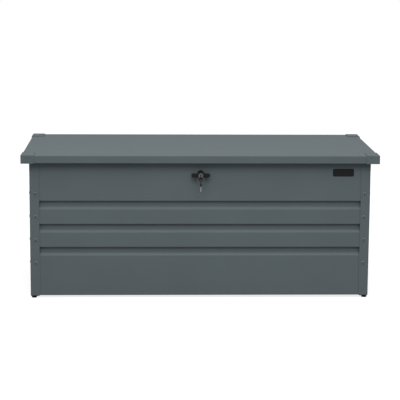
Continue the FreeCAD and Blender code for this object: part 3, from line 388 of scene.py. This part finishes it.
def build_finish(slot):
    """Material of one slot: its group's colour and roughness, and its height as a bump."""
    group, values, depth, own = FINISHES[slot]
    material = bpy.data.materials.new(slot.replace("_", " "))
    material.use_nodes = True
    tree = material.node_tree
    shader = tree.nodes["Principled BSDF"]
    place = add_node(tree, "ShaderNodeTexCoord").outputs["Object"]
    skin = tree.nodes.new("ShaderNodeGroup")
    skin.node_tree = group
    tree.links.new(place, skin.inputs["Place"])
    for key, value in values.items():
        skin.inputs[key].default_value = value
    colour = skin.outputs["Colour"]
    # Wall and screw paint get painted shade: the group's darkness is multiplied into the colour.
    if slot in PAINTED_SHADE:
        shade_group = tree.nodes.new("ShaderNodeGroup")
        shade_group.node_tree, strength = PAINTED_SHADE[slot]
        tree.links.new(place, shade_group.inputs["Place"])
        shade_group.inputs["Strength"].default_value = strength
        colour = shaded(tree, colour, shade_group.outputs["Shade"])
    tree.links.new(colour, shader.inputs["Base Color"])
    tree.links.new(skin.outputs["Roughness"], shader.inputs["Roughness"])
    relief = {"Height": skin.outputs["Height"], "Distance": depth, "Strength": 1.0}
    bump = add_node(tree, "ShaderNodeBump", relief)
    tree.links.new(bump.outputs["Normal"], shader.inputs["Normal"])
    for key, value in own.items():
        shader.inputs[key].default_value = value
    return material


finishes = {slot: build_finish(slot) for slot in FINISHES}
slots_of = {part["node"]: part["material_slot"] for part in frame["record"]["subparts"]}
for name, piece in nodes.items():
    piece.material_slots[0].material = finishes[slots_of[name]]
print("finishes:", len(finishes), "on", len(slots_of), "pieces")

# %% [markdown]
# ## Surfaces worked out with numpy
#
# The small pieces below are round or ring-shaped, so each is a stack of rings: ring after ring of points,
# joined to the next by four-sided faces. One helper turns such a grid of points into a mesh. It closes the
# first and last ring with a face, or joins them to each other where the piece is a loop with a hole in it.

# %% Grid to mesh
SHARP_EDGE = math.radians(40)


def mesh_from_rings(name, stacks, slot, body, loop=False):
    """Object from grids of shape (rings, points, 3), each closed round and at both ends.

    The face between ring i and i + 1 joins points j and j + 1, where the last point is next to the first.
    In a loop, the last ring is next to the first too.
    """
    places, faces, start = [], [], 0
    for grid in stacks:
        rings, count = grid.shape[:2]
        index = start + np.arange(rings * count).reshape(rings, count)
        beside = np.roll(index, -1, axis=1)
        above, far = np.roll(index, -1, axis=0), np.roll(beside, -1, axis=0)
        quads = np.stack([index, beside, far, above], axis=-1)
        if loop:
            faces += quads.reshape(-1, 4).tolist()
        else:
            faces += quads[:-1].reshape(-1, 4).tolist() + [index[0][::-1].tolist(), index[-1].tolist()]
        places.append(grid.reshape(-1, 3))
        start += rings * count
    mesh = bpy.data.meshes.new(name)
    mesh.from_pydata(np.concatenate(places).tolist(), [], faces)
    mesh.materials.append(finishes[slot])
    mesh.validate()
    mesh.shade_smooth()
    mesh.set_sharp_from_angle(angle=SHARP_EDGE)
    piece = bpy.data.objects.new(name, mesh)
    bpy.context.scene.collection.objects.link(piece)
    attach(piece, body)
    print(name, "has", len(faces), "faces")
    return piece


# %% [markdown]
# ## The small dark plate
#
# A thin plate sits at the upper right of the front, with round corners and a softened rim. It is a flat
# piece, so a Bevel modifier on a block could make it, but rings give the rim its exact curve: each ring is
# the same rounded rectangle, drawn in a little further and standing a little higher.

# %% Dark plate
PLATE_X, PLATE_Z = (0.5942, 0.6890), (0.5573, 0.5921)
PLATE_CORNER, PLATE_THICK, PLATE_RIM = 0.0065, 0.0014, 0.0007
WALL_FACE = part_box("front_panel")[0][1]


def rounded_rectangle(half_x, half_z, corner, count):
    """Points round a rectangle: a quarter circle at each corner, centred corner inside both sides."""
    angle = (np.arange(4 * count) + 0.5) * (2 * np.pi / (4 * count))
    side_x = np.sign(np.cos(angle)) * (half_x - corner)
    side_z = np.sign(np.sin(angle)) * (half_z - corner)
    return np.stack([side_x + corner * np.cos(angle), side_z + corner * np.sin(angle)], axis=-1)


def plate_rings():
    """Rings from the wall outwards: straight sides, then a quarter round over the rim, then the face."""
    turn = np.linspace(0.0, np.pi / 2, 5)
    inset = np.concatenate([[0.0], PLATE_RIM * (1 - np.cos(turn))])
    rise = np.concatenate([[0.0], PLATE_THICK - PLATE_RIM + PLATE_RIM * np.sin(turn)])
    half_x, half_z = (PLATE_X[1] - PLATE_X[0]) / 2, (PLATE_Z[1] - PLATE_Z[0]) / 2
    middle_x, middle_z = sum(PLATE_X) / 2, sum(PLATE_Z) / 2
    rings = []
    for step_in, height in zip(inset, rise):
        x, z = rounded_rectangle(half_x - step_in, half_z - step_in, PLATE_CORNER - step_in, 6).T
        rings.append(np.stack([x + middle_x, WALL_FACE - height + 0 * x, z + middle_z], axis=-1))
    return np.stack(rings)


mesh_from_rings("dark_plate", [plate_rings()], "key_plastic", "chest")

# %% [markdown]
# ## The screws
#
# In the photograph each screw of the corner posts is a dark core in a paler rim: a pan head with a cross
# recess, whose walls shade each other. Here a lighter paint on the head adds a painted highlight to the rim,
# and painted shade darkens the recess. The hinges are held by smaller ones of the same kind, zinc plated.
# The imported model has plain stepped heads there. The recess could be cut with a boolean, which leaves messy
# faces on so small a head. Here the head is a height over a round grid, and the cross is a dip in that
# height: deep where the point lies near either of two crossed lines, or near the middle.

# %% Screw heads
HEAD_POINTS, NECK_SHARE, RECESS_DEPTH = 48, 0.40, 0.94


def turned_grid(profile, count):
    """Grid of (first side, second side, outwards) from rows of (radius, height, squareness).

    A round row has the same radius all round, and a square row has radius / max(|cos|, |sin|).
    """
    angle = np.arange(count) * (2 * np.pi / count)
    corner = 1 / np.maximum(np.abs(np.cos(angle)), np.abs(np.sin(angle)))
    radius, height, square = profile.T[:, :, None]
    radius = radius * (1 + square * (corner - 1))
    return np.stack([radius * np.cos(angle), radius * np.sin(angle), height + 0 * radius], axis=-1)


def pan_head(radius, height, grip, dome, reach):
    """Pan head on a square neck of length grip, with a cross recess of half width reach.

    Height is H * (1 - (r / R) ** dome) ** 0.5, and the recess takes its depth's share of H * line * end
    away from it. Line falls from 1 to 0 between 0.22 and 0.36 of reach from the nearest of the cross's
    lines, and end does so between 0.9 and 1.1 of reach from the middle. The cross has a round core.
    """
    share = np.concatenate([np.linspace(1.0, 0.80, 6), np.linspace(0.74, 0.04, 16)])
    head = np.stack([radius * share, height * np.sqrt(1 - share ** dome), 0 * share], axis=-1)
    neck = [(radius * NECK_SHARE, -grip, 1.0), (radius * NECK_SHARE, 0.0, 1.0)]
    grid = turned_grid(np.concatenate([neck, head]), HEAD_POINTS)
    top = grid[2:]
    from_middle = np.hypot(top[..., 0], top[..., 1])
    off_line = np.minimum(np.abs(top[..., 0]), np.abs(top[..., 1]))
    off_line = np.minimum(off_line, from_middle - reach * 0.30)
    line = np.clip((reach * 0.36 - off_line) / (reach * 0.14), 0, 1)
    end = np.clip((reach * 1.1 - from_middle) / (reach * 0.2), 0, 1)
    top[..., 2] -= height * RECESS_DEPTH * line * end
    return grid


def placed(grid, seats, outwards):
    """Copies of a grid on each seat, its third axis turned outwards and its second one up."""
    outwards = np.array(outwards, dtype=float)
    second = np.tile([0.0, 0.0, 1.0], (len(outwards), 1))
    first = np.cross(second, outwards)
    turn = np.stack([first, second, outwards], axis=1)
    return np.array(seats, dtype=float)[:, None, None, :] + np.einsum("rpk,nkc->nrpc", grid, turn)


# %% Corner screws
CORNER_DOME = 5.0
seats, outwards = [], []
for side in (-1, 1):
    for face, out in ((FRONT_Y, -1), (REAR_Y, 1)):
        for level in levels:
            seats.append((side * (POST_X - CORNER_INSET), face, level))
            seats.append((side * POST_X, face - out * CORNER_INSET, level))
            outwards += [(0, out, 0), (side, 0, 0)]
corner_head = pan_head(CORNER_HEAD_RADIUS, CORNER_HEAD_HEIGHT, CORNER_GRIP, CORNER_DOME, CORNER_REACH)
corner_heads = placed(corner_head, seats, outwards)
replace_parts(mesh_from_rings("corner_screw_heads", corner_heads, "screw_paint", "chest"), "corner_screws")
print("corner screws:", len(seats))

# %% Hinge screws
PAN_RADIUS, PAN_HEIGHT, PAN_GRIP, PAN_DOME, PAN_REACH = 0.0035, 0.0018, 0.0020, 6.0, 0.0018
LID_LEAF_FACE, BODY_LEAF_FACE = 0.3690, 0.3558


def hinge_seats(leaf, face_y, level):
    """Two seats on each of the three leaves of one kind, a third of a leaf's width from its middle."""
    places = []
    for side in ("left", "middle", "right"):
        low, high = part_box(side + leaf)
        places += [(low[0] + (high[0] - low[0]) * share, face_y, level) for share in (1 / 6, 5 / 6)]
    return places


for name, leaf, face_y, body in (
    ("hinge_lid_screw", "_hinge_lid_leaf", LID_LEAF_FACE, "lid"),
    ("hinge_body_screw", "_hinge_body_leaf", BODY_LEAF_FACE, "chest"),
):
    low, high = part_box(name + "s")
    seats = hinge_seats(leaf, face_y, (low[2] + high[2]) / 2)
    head = pan_head(PAN_RADIUS, PAN_HEIGHT, PAN_GRIP, PAN_DOME, PAN_REACH)
    grids = placed(head, seats, [(0, 1, 0)] * len(seats))
    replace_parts(mesh_from_rings(name + "_heads", grids, "zinc", body), name + "s")

# %% [markdown]
# ## The heads of the keys
#
# A key of this kind has a moulded head with a thick pad on each side to grip, thinner round the ring's hole
# and at the rim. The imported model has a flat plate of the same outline. Blending two extrusions would leave
# a hard step, so the head is one surface round its ring hole: an angle goes round the hole, and a second
# number goes from the rim over one face to the hole and back over the other face.

# %% Key heads
HOLE_RADIUS, HOLE_INSET = 0.0035, 0.0060
HEAD_HALF, HEAD_LENGTH, HEAD_BEVEL, HEAD_OVERLAP = 0.0090, 0.0180, 0.0040, 0.0010
HEAD_SHEET, PAD_RISE, RIM_ROUND = 0.0024, 0.0013, 0.0010
RIM_LAND, HOLE_LAND, PAD_SLOPE = 0.0010, 0.0008, 0.0012
BOW_POINTS, BOW_RINGS = 64, 17


def head_reach(angle):
    """Distance from the hole's middle to the outline: a half circle, two straight sides and a tapered end.

    On the circle round (h, 0) of radius h it is k cos + (h ** 2 - k ** 2 sin ** 2) ** 0.5 with k = h - inset.
    """
    across, along = np.abs(np.sin(angle)), np.cos(angle)
    offset = HEAD_HALF - HOLE_INSET
    circle = offset * along + np.sqrt(HEAD_HALF ** 2 - (offset * across) ** 2)
    end = HEAD_LENGTH + HEAD_OVERLAP - HOLE_INSET
    far = np.full_like(angle, 1.0)
    straight = np.minimum(
        np.divide(end, along, out=far.copy(), where=along > 1e-6),
        np.divide(HEAD_HALF, across, out=far.copy(), where=across > 1e-6),
    )
    slope = along + across
    bevel = np.divide(end + HEAD_HALF - HEAD_BEVEL, slope, out=far.copy(), where=slope > 1e-6)
    return np.where(circle * along < offset, circle, np.minimum(straight, bevel))


def key_head_grid():
    """Grid of (thickness, along, across): rim to hole over one face, then hole to rim over the other.

    Half the thickness is the sheet's, rounded off as a quarter ellipse near the rim and the hole, plus a pad
    that rises smoothly from 1 mm inside the rim and 0.8 mm outside the hole, over 1.2 mm.
    """
    angle = np.arange(BOW_POINTS) * (2 * np.pi / BOW_POINTS)
    share = (1 + np.cos(np.linspace(0, np.pi, BOW_RINGS))) / 2
    room = head_reach(angle) - HOLE_RADIUS
    from_hole = share[:, None] * room
    from_rim = room - from_hole
    edge = np.clip(np.minimum(from_hole, from_rim) / RIM_ROUND, 0, 1)
    half = HEAD_SHEET / 2 * np.sqrt(1 - (1 - edge) ** 2)
    inside = np.clip((from_rim - RIM_LAND) / PAD_SLOPE, 0, 1)
    inside = inside * np.clip((from_hole - HOLE_LAND) / PAD_SLOPE, 0, 1)
    half = half + PAD_RISE * inside ** 2 * (3 - 2 * inside)
    radius = HOLE_RADIUS + from_hole
    along, across = radius * np.cos(angle), radius * np.sin(angle)
    near = np.stack([half, along, across], axis=-1)
    back = np.stack([-half, along, across], axis=-1)
    return np.concatenate([near, back[-2:0:-1]])


head = key_head_grid()
low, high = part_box("key_head")
middle = (low[2] + high[2]) / 2
level_head = np.stack([head[..., 0], low[1] + HOLE_INSET + head[..., 1], middle + head[..., 2]], axis=-1)
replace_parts(mesh_from_rings("key_bow", [level_head], "key_plastic", "key_body", loop=True), "key_head")
low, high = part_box("spare_key_head")
middle = (low[1] + high[1]) / 2
hung_head = np.stack([head[..., 0], middle + head[..., 2], high[2] - HOLE_INSET - head[..., 1]], axis=-1)
spare_bow = mesh_from_rings("spare_key_bow", [hung_head], "key_plastic", "spare_key_body", loop=True)
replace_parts(spare_bow, "spare_key_head")

# %% [markdown]
# ## Floor and light
#
# The chest stands in an even white studio. The shadow under the lid is dark at its top and gone a hand's
# width below, which is what a whole bright sky does: each point of the wall sees a little more of it than
# the point above. So the world gives an even part of the light, and two very large lamps, one nearly
# overhead and one high in front, lift the lid and the slopes that face them. A third lamp stands low behind
# the chest, so that its back isn't left in the dark, and no higher than the lid, which would catch it. The
# floor looks white, but little light comes back up from it, or the slopes that face down would not be so
# dark. Light Path tells a look from the camera from a bounce of light, so the floor can glow for the one
# and stay grey for the other, and it still takes the chest's shadow.

# %% Floor
FLOOR_SIZE, FLOOR_GLOW, FLOOR_GREY = 60.0, 0.80, 0.25


def looked_at(tree):
    """1 where a surface is seen directly, mirrored or through glass, and 0 where it only gives light."""
    rays = add_node(tree, "ShaderNodeLightPath").outputs
    either = maths(tree, "MAXIMUM", rays["Is Camera Ray"], rays["Is Glossy Ray"])
    return maths(tree, "MAXIMUM", either, rays["Is Transmission Ray"])


floor_mesh = bpy.data.meshes.new("floor")
edge = FLOOR_SIZE / 2
corners = [(-edge, -edge, 0), (edge, -edge, 0), (edge, edge, 0), (-edge, edge, 0)]
floor_mesh.from_pydata(corners, [], [(0, 1, 2, 3)])
floor = bpy.data.objects.new("floor", floor_mesh)
bpy.context.scene.collection.objects.link(floor)
floor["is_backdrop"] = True

floor_paint = bpy.data.materials.new("pale floor")
floor_paint.use_nodes = True
tree = floor_paint.node_tree
shader = tree.nodes["Principled BSDF"]
shader.inputs["Base Color"].default_value = (FLOOR_GREY, FLOOR_GREY, FLOOR_GREY, 1.0)
shader.inputs["Roughness"].default_value = 1.0
shader.inputs["Specular IOR Level"].default_value = 0.0
shader.inputs["Emission Color"].default_value = (1.0, 1.0, 1.0, 1.0)
tree.links.new(maths(tree, "MULTIPLY", looked_at(tree), FLOOR_GLOW), shader.inputs["Emission Strength"])
floor_mesh.materials.append(floor_paint)
print("floor metres across:", FLOOR_SIZE)

# %% World and lamps
WORLD_FILL = 0.85
world = bpy.data.worlds.new("pale studio")
bpy.context.scene.world = world
world.use_nodes = True
tree = world.node_tree
back = tree.nodes["Background"]
back.inputs["Color"].default_value = (1.0, 1.0, 1.0, 1.0)
tree.links.new(spread(tree, looked_at(tree), WORLD_FILL, 1.0, 0.0, 1.0), back.inputs["Strength"])


def soft_lamp(name, place, aim, width, height, watts):
    """Area lamp at a place, turned to face a point."""
    lamp = bpy.data.lights.new(name, "AREA")
    lamp.shape = "RECTANGLE"
    lamp.size, lamp.size_y = width, height
    lamp.energy = watts
    holder = bpy.data.objects.new(name, lamp)
    bpy.context.scene.collection.objects.link(holder)
    way = Vector(aim) - Vector(place)
    holder.matrix_world = Matrix.Translation(place) @ way.to_track_quat("-Z", "Y").to_matrix().to_4x4()
    return holder


LAMP_WIDTH = 3.4
CHEST_MIDDLE, WALL_MIDDLE = (0.0, 0.0, 0.40), (0.0, 0.0, 0.32)
soft_lamp("high lamp", (0.0, -1.64, 4.91), CHEST_MIDDLE, LAMP_WIDTH, 2.0, 93.0)
soft_lamp("front lamp", (0.0, -3.39, 3.79), CHEST_MIDDLE, LAMP_WIDTH, 2.0, 123.0)
soft_lamp("back lamp", (0.0, 3.40, 0.32), WALL_MIDDLE, LAMP_WIDTH, 0.6, 30.0)
bpy.context.scene.view_settings.view_transform = "Standard"

# %% [markdown]
# ## Measure and finish
#
# A dressed model must stay as large as the imported one, or it no longer fits what the part is used with. So
# the box of everything that shows now is printed.

# %% Measure and finish
low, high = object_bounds()
print("box of the dressed chest in metres:", [round(v, 4) for v in (*low, *high)])
